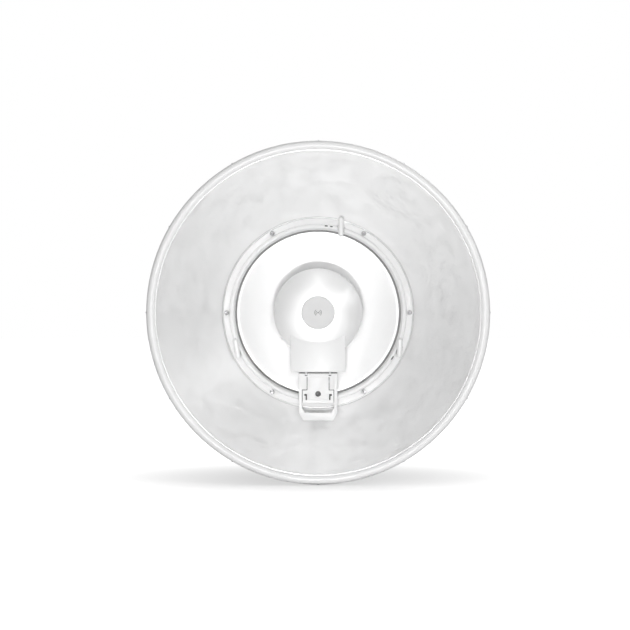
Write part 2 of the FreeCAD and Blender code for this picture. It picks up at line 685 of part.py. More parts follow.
def shroud():
    """Conical sheet with a gentle outward bulge, a flange at the ring and a lip at the mouth."""
    run = SHROUD_FRONT_R - SHROUD_BACK_R
    rise = SHROUD_DEPTH - RING_BACK
    slant = math.hypot(run, rise)
    out_r = rise / slant
    out_forward = -run / slant
    middle_r = SHROUD_BACK_R + run / 2 + SHROUD_BULGE * out_r
    middle_forward = RING_BACK + rise / 2 + SHROUD_BULGE * out_forward
    shift_r = SHROUD_SHEET * out_r
    shift_forward = SHROUD_SHEET * out_forward
    lip_front = SHROUD_DEPTH + SHROUD_SHEET
    outside_back = (SHROUD_BACK_R + shift_r, RING_BACK + shift_forward)
    outside_front = (SHROUD_FRONT_R + shift_r, SHROUD_DEPTH + shift_forward)
    edges = [profile_arc((SHROUD_BACK_R, RING_BACK), (middle_r, middle_forward),
                         (SHROUD_FRONT_R, SHROUD_DEPTH + shift_forward)),
             profile_arc(outside_back, (middle_r + shift_r, middle_forward + shift_forward),
                         outside_front)]
    edges += profile_lines([(SHROUD_FRONT_R, SHROUD_DEPTH + shift_forward),
                            (SHROUD_FRONT_R, lip_front), (SHROUD_LIP_R, lip_front),
                            (SHROUD_LIP_R, SHROUD_DEPTH), (outside_front[0], SHROUD_DEPTH),
                            outside_front])
    edges += profile_lines([(SHROUD_BACK_R, RING_BACK), (SHROUD_INNER_FLANGE_R, RING_BACK),
                            (SHROUD_INNER_FLANGE_R, RING_BACK - SHROUD_SHEET),
                            (outside_back[0], RING_BACK - SHROUD_SHEET), outside_back])
    holes = [rod(SMALL_SCREW_R + RUNNING_GAP, x, z, -10, 10) for x, z in ring_screw_places()]
    return turned(edges).cut(holes)


def rim_trim():
    lip_front = SHROUD_DEPTH + SHROUD_SHEET
    crown = profile_arc((RIM_INNER_R, lip_front), ((RIM_INNER_R + RIM_OUTER_R) / 2, RIM_CREST),
                        (RIM_OUTER_R, lip_front - TRIM_EDGE_DROP))
    edges = [crown]
    edges += profile_lines([(RIM_OUTER_R, lip_front - TRIM_EDGE_DROP),
                            (RIM_OUTER_R, SHROUD_DEPTH - TRIM_HOOK),
                            (SHROUD_LIP_R - 2, SHROUD_DEPTH - TRIM_HOOK),
                            (SHROUD_LIP_R - 2, SHROUD_DEPTH), (SHROUD_LIP_R, SHROUD_DEPTH),
                            (SHROUD_LIP_R, lip_front), (RIM_INNER_R, lip_front)])
    return turned(edges)


def rim_catches():
    """Narrow spring catches that hook behind the trim, evenly spaced round the rim."""
    trim_wall = rod(RIM_OUTER_R, 0, 0, SHROUD_DEPTH - TRIM_HOOK, SHROUD_DEPTH + 10)
    catches = []
    for index in range(CATCH_COUNT):
        plate = box(RIM_OUTER_R - CATCH_REACH, RIM_OUTER_R + CATCH_THICK,
                    SHROUD_DEPTH - TRIM_HOOK - CATCH_THICK, SHROUD_DEPTH + CATCH_FRONT,
                    -CATCH_WIDTH / 2, CATCH_WIDTH / 2)
        plate = plate.cut(trim_wall)
        plate.rotate(Vector(0, 0, 0), Y_AXIS, 360.0 * index / CATCH_COUNT)
        catches.append(plate)
    return Part.makeCompound(catches)


# ---------------------------------------------------------------- turn clips


def turn_clip(place, long_side):
    """Half-round bar with a blind bore that turns on its post, its long side at the given angle."""
    x, z = clip_centre(place)
    half = CLIP_LENGTH / 2 - CLIP_WIDTH / 2
    front = CLIP_BACK + CLIP_THICK
    bar = box(-half, half, CLIP_BACK, front, -CLIP_WIDTH / 2, CLIP_WIDTH / 2)
    ends = [rod(CLIP_WIDTH / 2, side * half, 0, CLIP_BACK, front) for side in (-1, 1)]
    clip = fused([bar, *ends])
    front_edges = [e for e in clip.Edges if abs(e.CenterOfMass.y - forward_y(front)) < 0.01]
    clip = clip.makeFillet(CLIP_ROUND, front_edges)
    clip = clip.cut(rod(CLIP_POST_R + RUNNING_GAP, 0, 0, 0, front - CLIP_FRONT_SKIN))
    clip.rotate(Vector(0, 0, 0), Y_AXIS, -long_side)
    clip.translate(Vector(x, 0, z))
    return clip


def clip_posts():
    """Pins pressed into the ring; each ends inside its clip."""
    top = CLIP_BACK + CLIP_THICK - CLIP_FRONT_SKIN - AXIAL_GAP
    return Part.makeCompound([rod(CLIP_POST_R, *clip_centre(place), RING_BACK + 1, top)
                              for _, place, _ in CLIPS])


# ---------------------------------------------------------------- arm and feed head


def arm_block(inset, z_from, z_to):
    """Upright block with a front that curves from side to side, shrunk by an inset."""
    half = ARM_HALF_WIDTH - inset
    back_y = forward_y(ARM_BACK + inset)
    side_y = forward_y(ARM_FRONT_SIDE - inset)
    middle_y = forward_y(ARM_FRONT_MID - inset)
    front = Part.Arc(Vector(-half, side_y, 0), Vector(0, middle_y, 0), Vector(half, side_y, 0))
    sides = Part.makePolygon([Vector(half, side_y, 0), Vector(half, back_y, 0),
                              Vector(-half, back_y, 0), Vector(-half, side_y, 0)])
    face = Part.Face(Part.Wire([front.toShape(), *sides.Edges]))
    block = face.extrude(Vector(0, 0, z_to - z_from))
    block.translate(Vector(0, 0, z_from))
    return block


def in_front_of(forward):
    return box(-200, 200, forward, 200, -200, 200)


def behind(forward):
    return box(-200, 200, -200, forward, -200, 200)


def arm_screw_places():
    places = []
    for x in (-ARM_HALF_WIDTH + ARM_SCREW_INSET, ARM_HALF_WIDTH - ARM_SCREW_INSET):
        for z in (ARM_BOTTOM_Z + ARM_SCREW_INSET, ARM_TOP_Z - ARM_SCREW_INSET):
            places.append((x, z))
    return places


def arm_front_cover():
    outside = arm_block(0, ARM_BOTTOM_Z, ARM_TOP_Z)
    edges = [e for e in outside.Edges if abs(e.CenterOfMass.z - ARM_BOTTOM_Z) < 0.01
             and e.CenterOfMass.y < forward_y(ARM_FRONT_SIDE)]
    outside = outside.makeFillet(ARM_BOTTOM_ROUND, edges)
    hollow = arm_block(WALL, ARM_BOTTOM_Z + WALL, ARM_TOP_Z - WALL)
    cover = outside.cut(hollow)
    bosses = [rod(ARM_BOSS_R, x, z, ARM_SPLIT, ARM_BOSS_FRONT) for x, z in arm_screw_places()]
    for side in (-1, 1):
        lug_x = side * HINGE_LUG_X
        bosses.append(box(lug_x - 1, lug_x + 1, HINGE_FORWARD - HINGE_LUG_R,
                          HINGE_FORWARD + HINGE_LUG_R, HINGE_Z, ARM_BOTTOM_Z + 1))
        lug_start = Vector(lug_x - 1, forward_y(HINGE_FORWARD), HINGE_Z)
        bosses.append(Part.makeCylinder(HINGE_LUG_R, 2, lug_start, X_AXIS))
    pin_hole = cross_rod(HINGE_PIN_R, THROUGH, HINGE_FORWARD, HINGE_Z)
    screw_holes = [rod(SMALL_SCREW_R + RUNNING_GAP, x, z, 0, 40) for x, z in arm_screw_places()]
    return fused([cover, *bosses]).cut([behind(ARM_SPLIT + ARM_SEAL), pin_hole, *screw_holes])


def arm_seal():
    outer = arm_block(0.6, ARM_BOTTOM_Z + 0.6, ARM_TOP_Z - 0.6)
    inner = arm_block(WALL - 0.4, ARM_BOTTOM_Z + WALL - 0.4, ARM_TOP_Z - WALL + 0.4)
    band = box(-100, 100, ARM_SPLIT, ARM_SPLIT + ARM_SEAL, -200, 200)
    holes = [rod(ARM_BOSS_R + 0.2, x, z, 0, THROUGH) for x, z in arm_screw_places()]
    return outer.cut(inner).common(band).cut(holes)


def arm_rear_housing():
    shells = [arm_block(0, ARM_BOTTOM_Z, ARM_TOP_Z).cut(in_front_of(ARM_SPLIT))]
    shells.append(box(-BAY_HALF_WIDTH, BAY_HALF_WIDTH, BAY_BACK, BAY_FRONT, BAY_BOTTOM_Z,
                      ARM_BOTTOM_Z))
    shells.append(box(-FOOT_HALF_WIDTH, FOOT_HALF_WIDTH, HUB_BACK + SPINE_THICK, BAY_BACK + 4,
                      FOOT_BOTTOM_Z, FOOT_TOP_Z))
    bay_hollow = box(-BAY_HALF_WIDTH + WALL, BAY_HALF_WIDTH - WALL, BAY_BACK + WALL, 60,
                     BAY_BOTTOM_Z + WALL, ARM_BOTTOM_Z)
    passage = box(-BAY_HALF_WIDTH + WALL, BAY_HALF_WIDTH - WALL, ARM_BACK + WALL, ARM_SPLIT,
                  ARM_BOTTOM_Z - 1, ARM_BOTTOM_Z + WALL + 1)
    block_hollow = arm_block(WALL, ARM_BOTTOM_Z + WALL, ARM_TOP_Z - WALL)
    foot_hollow = box(-FOOT_HALF_WIDTH + FOOT_WALL, FOOT_HALF_WIDTH - FOOT_WALL,
                      HUB_BACK + SPINE_THICK + 6, BAY_BACK + WALL + 1, FOOT_BOTTOM_Z + FOOT_WALL,
                      FOOT_TOP_Z - FOOT_WALL - 2)
    housing = fused(shells).cut([bay_hollow, passage, block_hollow, foot_hollow])
    bosses = [rod(ARM_BOSS_R, x, z, ARM_BACK + 1, ARM_SPLIT) for x, z in arm_screw_places()]
    cuts = [rod(SMALL_SCREW_R + RUNNING_GAP, x, z, 0, 40) for x, z in arm_screw_places()]
    cuts += [rod(SCREW_R + RUNNING_GAP, x, FOOT_SCREW_Z, -THROUGH, HUB_BACK + SPINE_THICK + 5)
             for x in (-FOOT_SCREW_X, FOOT_SCREW_X)]
    cuts += [light_pipe(z, LIGHT_PIPE_R + RUNNING_GAP) for z in light_pipe_heights()]
    cuts.append(box(-JACK_HALF_WIDTH, JACK_HALF_WIDTH, BOARD_BACK + BOARD_THICK, JACK_FRONT,
                    BAY_BOTTOM_Z - 1, BAY_BOTTOM_Z + WALL + 1))
    # notch in the bay's floor that the release tongue springs into
    cuts.append(box(-COVER_OPENING_HALF, COVER_OPENING_HALF, BAY_NOTCH_BACK, THROUGH, BAY_BOTTOM_Z - 1,
                    BAY_BOTTOM_Z + WALL + 1))
    # slot in the roof for the board's neck
    cuts.append(box(-BOARD_NECK_HALF - 1, BOARD_NECK_HALF + 1, BOARD_BACK - 0.5,
                    BOARD_BACK + BOARD_THICK + 0.5, ARM_TOP_Z - 5, ARM_TOP_Z + 1))
    return fused([housing, *bosses]).cut(cuts)


def arm_screws():
    return Part.makeCompound([screw(x, z, ARM_BACK, 39.5, SMALL_SCREW_R, 2.8, 2.0, 1.6)
                              for x, z in arm_screw_places()])


def light_pipe_heights():
    return [LIGHT_PIPE_LOW_Z + LIGHT_PIPE_STEP * index for index in range(LIGHT_PIPE_COUNT)]


def light_pipe(z, radius):
    start = Vector(BOARD_HALF_WIDTH + 1, forward_y(LIGHT_PIPE_FORWARD), z)
    return Part.makeCylinder(radius, ARM_HALF_WIDTH - BOARD_HALF_WIDTH - 0.7, start, X_AXIS)


def status_light_pipes():
    return Part.makeCompound([light_pipe(z, LIGHT_PIPE_R) for z in light_pipe_heights()])


def feed_dome():
    inner_r = DOME_R - DOME_SKIN
    inner_rise = DOME_RISE - DOME_SKIN
    recess_edge = DOME_BASE + DOME_RISE * math.sqrt(1 - (BADGE_RECESS_R / DOME_R) ** 2)
    backing_r = BADGE_RECESS_R + DOME_SKIN
    backing_edge = DOME_BASE + inner_rise * math.sqrt(1 - (backing_r / inner_r) ** 2)
    edges = [profile_ellipse(DOME_R, DOME_RISE, BADGE_RECESS_R),
             profile_ellipse(inner_r, inner_rise, backing_r)]
    edges += profile_lines([(BADGE_RECESS_R, recess_edge), (BADGE_RECESS_R, BADGE_FLOOR),
                            (0, BADGE_FLOOR), (0, BADGE_FLOOR - DOME_SKIN),
                            (backing_r, BADGE_FLOOR - DOME_SKIN), (backing_r, backing_edge)])
    edges += profile_lines([(inner_r, DOME_BASE), (inner_r, DOME_SEAM), (DOME_R, DOME_SEAM),
                            (DOME_R, DOME_BASE)])
    return turned(edges).cut(arm_block(0, ARM_BOTTOM_Z, ARM_TOP_Z))


def feed_badge():
    badge = rod(BADGE_R, 0, 0, BADGE_FLOOR, BADGE_FLOOR + BADGE_THICK)
    front_y = forward_y(BADGE_FLOOR + BADGE_THICK)
    edges = [e for e in badge.Edges if abs(e.CenterOfMass.y - front_y) < 0.01]
    return badge.makeFillet(0.4, edges)


def feed_rear_housing():
    inner_r = DOME_R - DOME_SKIN
    edges = profile_lines([(DOME_R, FEED_SEAM), (DOME_R, FEED_SEAM - 4)])
    edges.append(profile_arc((DOME_R, FEED_SEAM - 4), (DOME_R - 2.4, FEED_BACK + 4.4),
                             (FEED_BACK_R, FEED_BACK)))
    edges += profile_lines([(FEED_BACK_R, FEED_BACK), (0, FEED_BACK), (0, FEED_BACK + DOME_SKIN),
                            (FEED_BACK_R, FEED_BACK + DOME_SKIN)])
    edges.append(profile_arc((FEED_BACK_R, FEED_BACK + DOME_SKIN),
                             (DOME_R - 4.0, FEED_BACK + 5.6), (inner_r, FEED_SEAM - 4)))
    edges += profile_lines([(inner_r, FEED_SEAM - 4), (inner_r, FEED_SEAM), (DOME_R, FEED_SEAM)])
    return turned(edges).cut(arm_block(0, ARM_BOTTOM_Z, ARM_TOP_Z))


def feed_seal():
    outer = rod(DOME_R - 0.5, 0, 0, FEED_SEAM, DOME_SEAM)
    inner = rod(DOME_R - DOME_SKIN + 0.4, 0, 0, 0, THROUGH)
    return outer.cut([inner, arm_block(0, ARM_BOTTOM_Z, ARM_TOP_Z)])


def feed_board():
    board = rod(FEED_BOARD_R, 0, 0, FEED_BOARD_BACK, FEED_BOARD_BACK + BOARD_THICK)
    return board.cut(box(-THROUGH, THROUGH, 0, THROUGH, -THROUGH, ARM_TOP_Z + 1))


def feed_standoffs():
    return Part.makeCompound([rod(STANDOFF_R, x, z, PATCH_FRONT, FEED_BOARD_BACK)
                              for x, z in round_places(4, STANDOFF_CIRCLE_R, 45)])


def feed_patch():
    return box(-PATCH_HALF, PATCH_HALF, PATCH_BACK, PATCH_FRONT, -PATCH_HALF, PATCH_HALF)


def feed_header():
    return box(-HEADER_HALF_WIDTH, HEADER_HALF_WIDTH, BOARD_BACK + BOARD_THICK, FEED_BOARD_BACK,
               HEADER_BOTTOM_Z, HEADER_TOP_Z)


# ---------------------------------------------------------------- electronics


def main_board():
    lower = box(-BOARD_HALF_WIDTH, BOARD_HALF_WIDTH, BOARD_BACK, BOARD_BACK + BOARD_THICK,
                BAY_BOTTOM_Z + WALL + 0.5, ARM_TOP_Z - WALL - 2)
    neck = box(-BOARD_NECK_HALF, BOARD_NECK_HALF, BOARD_BACK, BOARD_BACK + BOARD_THICK,
               ARM_TOP_Z - 6, ARM_TOP_Z + 4)
    return fused([lower, neck])


def board_standoffs():
    """Short pillars between the bay's back wall and the board."""
    pillars = [rod(PILLAR_R, x, PILLAR_Z, BAY_BACK + WALL, BOARD_BACK)
               for x in (-PILLAR_X, PILLAR_X)]
    return Part.makeCompound(pillars)


def shield_can():
    outer = box(-CAN_HALF_WIDTH, CAN_HALF_WIDTH, BOARD_BACK + BOARD_THICK, CAN_FRONT,
                CAN_BOTTOM_Z, CAN_TOP_Z)
    inner = box(-CAN_HALF_WIDTH + CAN_SHEET, CAN_HALF_WIDTH - CAN_SHEET, BOARD_BACK,
                CAN_FRONT - CAN_SHEET, CAN_BOTTOM_Z + CAN_SHEET, CAN_TOP_Z - CAN_SHEET)
    return outer.cut(inner)


def ethernet_jack():
    body = box(-JACK_HALF_WIDTH, JACK_HALF_WIDTH, BOARD_BACK + BOARD_THICK, JACK_FRONT,
               BAY_BOTTOM_Z, JACK_TOP_Z)
    socket = box(-SOCKET_HALF_WIDTH, SOCKET_HALF_WIDTH, SOCKET_BACK, SOCKET_FRONT,
                 BAY_BOTTOM_Z - 1, BAY_BOTTOM_Z + SOCKET_DEPTH)
    key_slot = box(-KEY_HALF_WIDTH, KEY_HALF_WIDTH, SOCKET_FRONT - 0.1, SOCKET_FRONT + KEY_HIGH,
                   BAY_BOTTOM_Z - 1, BAY_BOTTOM_Z + SOCKET_DEPTH - 3)
    return body.cut([socket, key_slot])


def jack_contacts():
    """Eight spring contacts along the socket's back wall."""
    contacts = []
    for index in range(CONTACT_COUNT):
        x = CONTACT_PITCH * (index - (CONTACT_COUNT - 1) / 2)
        contacts.append(box(x - CONTACT_HALF, x + CONTACT_HALF, SOCKET_BACK,
                            SOCKET_BACK + CONTACT_THICK, BAY_BOTTOM_Z + 2,
                            BAY_BOTTOM_Z + SOCKET_DEPTH))
    return Part.makeCompound(contacts)


def reset_switch():
    return box(BUTTON_X - SWITCH_HALF, BUTTON_X + SWITCH_HALF, BOARD_BACK + BOARD_THICK,
               SWITCH_FRONT, BUTTON_Z - SWITCH_HALF, BUTTON_Z + SWITCH_HALF)


def reset_button():
    stem = rod(BUTTON_R, BUTTON_X, BUTTON_Z, BUTTON_BACK, BUTTON_FRONT)
    collar = rod(BUTTON_R + BUTTON_COLLAR, BUTTON_X, BUTTON_Z, BUTTON_COLLAR_BACK,
                 BUTTON_COLLAR_FRONT)
    return fused([stem, collar])


def bay_plate():
    plate = box(-BAY_HALF_WIDTH + WALL, BAY_HALF_WIDTH - WALL, BAY_PLATE_BACK,
                BAY_PLATE_BACK + BAY_PLATE_THICK, BAY_BOTTOM_Z + WALL, ARM_BOTTOM_Z - 0.5)
    return plate.cut(rod(BUTTON_R + RUNNING_GAP, BUTTON_X, BUTTON_Z, 0, THROUGH))


# ---------------------------------------------------------------- port cover and tongue


def port_cover():
    half = BAY_HALF_WIDTH
    chamfer_top = COVER_BOTTOM_Z + COVER_CHAMFER_HIGH
    plate = sheet([(-half, HINGE_Z), (half, HINGE_Z), (half, chamfer_top),
                   (half - COVER_CHAMFER, COVER_BOTTOM_Z), (-half + COVER_CHAMFER, COVER_BOTTOM_Z),
                   (-half, chamfer_top)], COVER_BACK, COVER_FRONT)
    knuckle = cross_rod(HINGE_R, half - 0.2, HINGE_FORWARD, HINGE_Z)
    neck = box(-COVER_NECK_HALF, COVER_NECK_HALF, CUT_BACK, CUT_FRONT, COVER_SHOULDER_Z - 1,
               TONGUE_TOP_Z)
    groove = cross_rod(TONGUE_ROOT_R + TONGUE_ROOT_GAP, COVER_NECK_HALF, TONGUE_ROOT_FORWARD,
                       TONGUE_TOP_Z)
    inner_half = COVER_OPENING_HALF
    inner_top = COVER_BAR_TOP_Z + COVER_INNER_CHAMFER_HIGH
    bar_half = inner_half - COVER_INNER_CHAMFER
    wide = sheet([(-inner_half, COVER_SHOULDER_Z), (inner_half, COVER_SHOULDER_Z),
                  (inner_half, inner_top), (bar_half, COVER_BAR_TOP_Z),
                  (-bar_half, COVER_BAR_TOP_Z), (-inner_half, inner_top)], CUT_BACK, CUT_FRONT)
    slots = []
    for side in (-1, 1):
        lug_x = side * HINGE_LUG_X
        slots.append(box(lug_x - 1 - HINGE_GAP, lug_x + 1 + HINGE_GAP, CUT_BACK, CUT_FRONT,
                         HINGE_Z - HINGE_R - HINGE_GAP, HINGE_Z + 3))
    pin_hole = cross_rod(HINGE_PIN_R + RUNNING_GAP, THROUGH, HINGE_FORWARD, HINGE_Z)
    cover = fused([plate, knuckle]).cut([neck, groove, wide, *slots, pin_hole])
    # small stops on the bar, beside the loop's lower corners
    stops = []
    for side in (-1, 1):
        centre = side * (bar_half - STOP_INSET)
        stops.append(box(centre - STOP_HALF, centre + STOP_HALF, COVER_BACK,
                         COVER_FRONT - STOP_STEP, COVER_BAR_TOP_Z - 0.5,
                         COVER_BAR_TOP_Z + STOP_RISE))
    return fused([cover, *stops])


def cover_hinge_pin():
    return cross_rod(HINGE_PIN_R, HINGE_PIN_HALF, HINGE_FORWARD, HINGE_Z)


def release_tongue():
    """T-shaped tongue whose rounded root sits in the cover's groove."""
    neck_half = COVER_NECK_HALF - TONGUE_SLIT
    wide_half = COVER_OPENING_HALF - TONGUE_SLIT
    wide_top = COVER_SHOULDER_Z - TONGUE_SLIT
    back = TONGUE_ROOT_FORWARD - TONGUE_ROOT_R
    neck = box(-neck_half, neck_half, back, COVER_FRONT, wide_top - 1, TONGUE_TOP_Z)
    wide = box(-wide_half, wide_half, back, COVER_FRONT, TONGUE_BOTTOM_Z, wide_top)
    root = cross_rod(TONGUE_ROOT_R, neck_half, TONGUE_ROOT_FORWARD, TONGUE_TOP_Z)
    tongue = fused([neck, wide, root])
    cuts = [rod(TONGUE_HOLE_R, 0, TONGUE_HOLE_Z, CUT_BACK, CUT_FRONT)]
    for side in (-1, 1):
        outer_x = side * HOOK_OUTER_X
        stem_x = side * HOOK_STEM_X
        cuts.append(box(min(outer_x, stem_x), max(outer_x, stem_x), CUT_BACK, CUT_FRONT,
                        HOOK_TOP_Z - HOOK_HEAD_HIGH, HOOK_TOP_Z))
        cuts.append(box(stem_x - HOOK_WIDTH / 2, stem_x + HOOK_WIDTH / 2, CUT_BACK, CUT_FRONT,
                        HOOK_BOTTOM_Z, HOOK_TOP_Z))
    return tongue.cut(cuts)


# ---------------------------------------------------------------- write every piece

os.makedirs("parts", exist_ok=True)

save("pole_bracket", pole_bracket())
save("pole_strap", strap())
save("strap_screw_housing", strap_screw_housing())
save("strap_screw", strap_screw())
save("azimuth_bolt", bolt(Vector(0, AZIMUTH_Y, EAR_OUTER_Z), -Z_AXIS, 2 * EAR_OUTER_Z))
save("azimuth_knob", knob(Vector(0, AZIMUTH_Y, -EAR_OUTER_Z), -Z_AXIS))
save("swivel_block", swivel_block())
save("elevation_bolt", bolt(Vector(HUB_EAR_OUTER_X, ELEVATION_Y, 0), -X_AXIS, 2 * HUB_EAR_OUTER_X))
save("elevation_knob", knob(Vector(-HUB_EAR_OUTER_X, ELEVATION_Y, 0), -X_AXIS))

save("rear_hub", rear_hub())
save("hub_plate", hub_plate())
save("hub_screws", hub_screws())
save("foot_screws", foot_screws())
save("ground_screw", screw(0, GROUND_SCREW_Z, HUB_BACK, HUB_BACK + 3.8, SCREW_R, 4.0, 2.8, 2.2))

save("dish_reflector", dish_reflector())
save("mounting_ring", mounting_ring())
save("ring_screws", ring_screws())
save("ring_nuts", ring_nuts())
save("shroud", shroud())
save("rim_trim", rim_trim())
save("rim_catches", rim_catches())
save("clip_posts", clip_posts())
for clip_name, clip_place, clip_turn in CLIPS:
    save("turn_clip_" + clip_name, turn_clip(clip_place, clip_turn))

save("feed_dome", feed_dome())
save("feed_badge", feed_badge())
save("feed_rear_housing", feed_rear_housing())
save("feed_seal", feed_seal())
save("feed_board", feed_board())
save("feed_standoffs", feed_standoffs())
save("feed_patch", feed_patch())
save("feed_header", feed_header())

save("arm_front_cover", arm_front_cover())
save("arm_seal", arm_seal())
save("arm_rear_housing", arm_rear_housing())
save("arm_screws", arm_screws())
save("status_light_pipes", status_light_pipes())
save("main_board", main_board())
save("board_standoffs", board_standoffs())
save("shield_can", shield_can())
save("ethernet_jack", ethernet_jack())
save("jack_contacts", jack_contacts())
save("reset_switch", reset_switch())
save("reset_button", reset_button())
save("bay_plate", bay_plate())
save("port_cover", port_cover())
save("cover_hinge_pin", cover_hinge_pin())
save("release_tongue", release_tongue())
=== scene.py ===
import json
import math

import bmesh
import bpy
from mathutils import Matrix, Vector


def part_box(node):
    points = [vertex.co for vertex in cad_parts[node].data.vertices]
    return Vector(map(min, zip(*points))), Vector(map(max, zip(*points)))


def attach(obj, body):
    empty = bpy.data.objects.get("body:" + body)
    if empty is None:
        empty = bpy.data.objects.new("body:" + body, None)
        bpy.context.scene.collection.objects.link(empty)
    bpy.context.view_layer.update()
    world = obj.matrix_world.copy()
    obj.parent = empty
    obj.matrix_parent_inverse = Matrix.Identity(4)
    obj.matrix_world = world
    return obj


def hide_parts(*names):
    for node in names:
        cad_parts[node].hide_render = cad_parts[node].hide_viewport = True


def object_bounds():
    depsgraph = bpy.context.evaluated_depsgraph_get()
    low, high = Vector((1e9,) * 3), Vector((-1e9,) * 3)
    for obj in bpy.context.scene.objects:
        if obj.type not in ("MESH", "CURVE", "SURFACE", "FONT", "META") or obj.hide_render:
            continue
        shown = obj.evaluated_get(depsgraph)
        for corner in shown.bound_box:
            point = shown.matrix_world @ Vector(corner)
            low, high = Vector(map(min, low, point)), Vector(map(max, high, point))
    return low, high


# Outdoor wireless bridge: a dish radio in a conical isolator shroud, on a pole bracket.
# Metres, +Z up.  The antenna looks along -Y.  Every turned piece is round about the Y axis.

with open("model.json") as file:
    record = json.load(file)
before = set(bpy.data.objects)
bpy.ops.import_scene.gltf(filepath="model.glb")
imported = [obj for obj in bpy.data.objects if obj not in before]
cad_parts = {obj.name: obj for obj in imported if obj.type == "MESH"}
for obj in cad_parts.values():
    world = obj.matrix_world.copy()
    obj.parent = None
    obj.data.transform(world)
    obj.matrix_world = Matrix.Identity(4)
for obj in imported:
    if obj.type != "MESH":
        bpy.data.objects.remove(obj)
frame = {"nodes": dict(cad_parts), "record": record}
cad_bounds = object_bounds()

MM = 0.001
RIM_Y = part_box("dish_reflector")[0].y

BODY_OF = {}
for body_name, members in frame["record"]["behaviour"]["bodies"].items():
    for member in members:
        BODY_OF[member] = body_name
SLOT_OF = {entry["node"]: entry["material_slot"] for entry in frame["record"]["subparts"]}
BASE_COLOUR = {entry["slot"]: entry["base_color"][:3] for entry in frame["record"]["materials"]}


# ---------------------------------------------------------------- camera

CAMERA_DISTANCE = 2.5
CAMERA_LENS = 123.0
CAMERA_LEFT = 0.0035
CAMERA_DOWN = 0.0027


def make_camera():
    """Square to the dish, a few millimetres left of and below its middle."""
    data = bpy.data.cameras.new("camera")
    data.lens = CAMERA_LENS
    camera = bpy.data.objects.new("camera", data)
    camera.location = (-CAMERA_LEFT, RIM_Y - CAMERA_DISTANCE, -CAMERA_DOWN)
    camera.rotation_euler = (math.radians(90), 0, 0)
    bpy.context.scene.collection.objects.link(camera)
    bpy.context.scene.camera = camera


# ---------------------------------------------------------------- materials

# Levels that most of a noise lies between.
NOISE_LOW = 0.3
NOISE_HIGH = 0.7
# Pointiness where an edge starts to look worn, and where it is fully worn.
WORN_LOW = 0.52
WORN_HIGH = 0.62

# Painted shade: colour darkened in gaps and corners by how closed in they are, as shade would
# fall there.
PAINTED_SHADE_SAMPLES = 6
# How open a spot is, from 0 to 1, where the painted shade is full and where there is none.
PAINTED_SHADE_FULL = 0.30
PAINTED_SHADE_NONE = 0.80

# Moulded plastic.
FLOW_PATCH = 38 * MM
FLOW_SHEEN = 11 * MM
FLOW_SHEEN_SPREAD = (0.05, 0.06)
FLOW_WAVE = 26 * MM
FLOW_DEPTH = 0.05 * MM
MOULDED_SPUN = 0.8

# Powder coat.
COAT_PATCH = 60 * MM
COAT_MOTTLE = 0.972
COAT_WEAR = 1.04
# Reach and darkness of the painted shade in the coat's gaps and corners.
COAT_REACH = 3.0 * MM
COAT_PAINTED_SHADE = 0.4
COAT_SHEEN = 17 * MM
COAT_SHEEN_SPREAD = (0.04, 0.05)
COAT_PEEL = 1.5 * MM
COAT_PEEL_DEPTH = 0.02 * MM
COAT_RING_DEPTH = 0.02 * MM
COAT_SPUN = 0.95

# Metal.
TARNISH_PATCH = 9 * MM
TARNISH = 0.78
METAL_WEAR = 1.25
SCRATCH_WIDTH = 0.6 * MM
SCRATCH_DEPTH = 0.02 * MM
SCRATCH_SHEEN_SPREAD = (0.10, 0.14)

# Circuit board.
TRACK_PITCH = 9 * MM
TRACK_GAP = 0.035
TRACK_HEIGHT = 0.035 * MM
TRACK_TINT = 1.9
WEAVE_PITCH = 0.5 * MM
WEAVE_DEPTH = 0.01 * MM
WEAVE_STRETCH = (1, 1, 0.3)

# Rubber and clear plastic.
RUBBER_DUST = 6 * MM
RUBBER_DUST_TINT = 1.3
RUBBER_GRAIN = 0.4 * MM
FROST_GRAIN = 0.7 * MM
FROST_CLEAR = 0.8
FINE_DEPTH = 0.02 * MM
SMALL_PATCH = 2 * MM
BOARD_PATCH = 3 * MM

# Scratches packed nine times closer along one axis, so that they run across it.
ACROSS_Y = (1, 9, 1)
ACROSS_Z = (1, 1, 9)


def colour_socket(sockets, name=None):
    """The first colour socket, or the one of this name, of a mix node."""
    return [s for s in sockets if s.type == "RGBA" and name in (None, s.name)][0]


